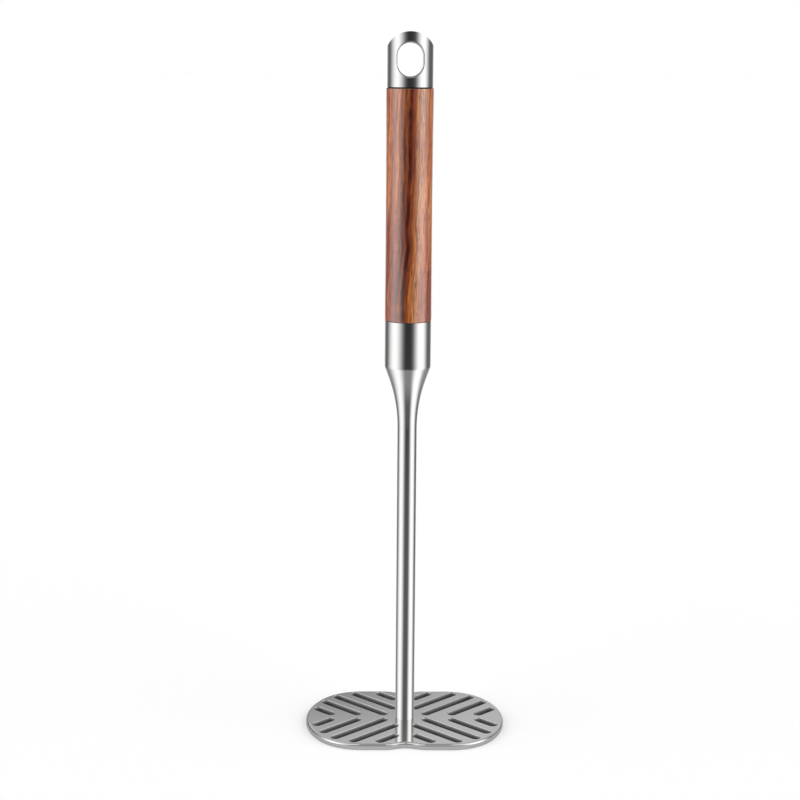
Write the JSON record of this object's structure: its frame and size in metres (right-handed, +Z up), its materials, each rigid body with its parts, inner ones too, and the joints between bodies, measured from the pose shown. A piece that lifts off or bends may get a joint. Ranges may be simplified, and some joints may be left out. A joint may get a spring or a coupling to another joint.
{
  "type": "potato masher",
  "caption": "Hand potato masher: slotted oval pressing plate on a slim steel rod, with a waisted wood grip and an arched steel end cap with a hanging hole.",
  "frame": {"origin": "centre of the mashing plate's underside, on the rod's axis", "axes": "+Z up the rod towards the end cap, X along the plate's long side, Y across the plate and through the hanging hole; the front faces -Y"},
  "size_m": [0.097, 0.072, 0.3335],
  "materials": {
    "plate_steel": "polished stainless steel plate with soft reflections",
    "handle_steel": "mirror-polished stainless steel",
    "grip_wood": "oiled dark red-brown hardwood with long straight grain",
    "stud_steel": "plain turned steel"
  },
  "bodies": {
    "root": {"mashing_plate": "plate_steel", "rod": "handle_steel", "bolster": "handle_steel", "end_cap": "handle_steel", "wood_grip": "grip_wood", "tie_rod": "stud_steel"}
  },
  "joints": []
}
